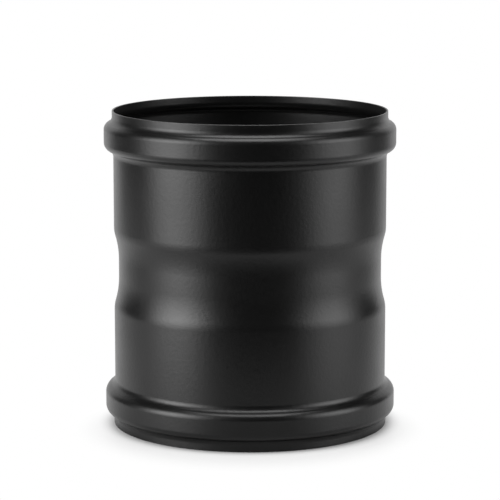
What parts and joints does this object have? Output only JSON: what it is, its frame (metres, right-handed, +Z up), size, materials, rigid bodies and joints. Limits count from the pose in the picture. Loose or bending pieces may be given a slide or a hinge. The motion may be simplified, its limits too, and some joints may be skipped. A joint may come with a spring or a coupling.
{
  "type": "stovepipe coupling",
  "caption": "Matt black thin-walled stovepipe coupling: an open sleeve with a rounded gasket bead behind each plain lip and a shallow waist that the inserted pipes stop against.",
  "frame": {"origin": "centre of the bottom rim, on the sleeve's axis", "axes": "+Z up along the sleeve's axis; X and Y are alike, because the sleeve is round"},
  "size_m": [0.0874, 0.0874, 0.0948],
  "materials": {
    "black_stove_paint": "matt black heat-resistant paint on sheet steel, inside and out"
  },
  "bodies": {
    "root": {"coupling_sleeve": "black_stove_paint"}
  },
  "joints": []
}
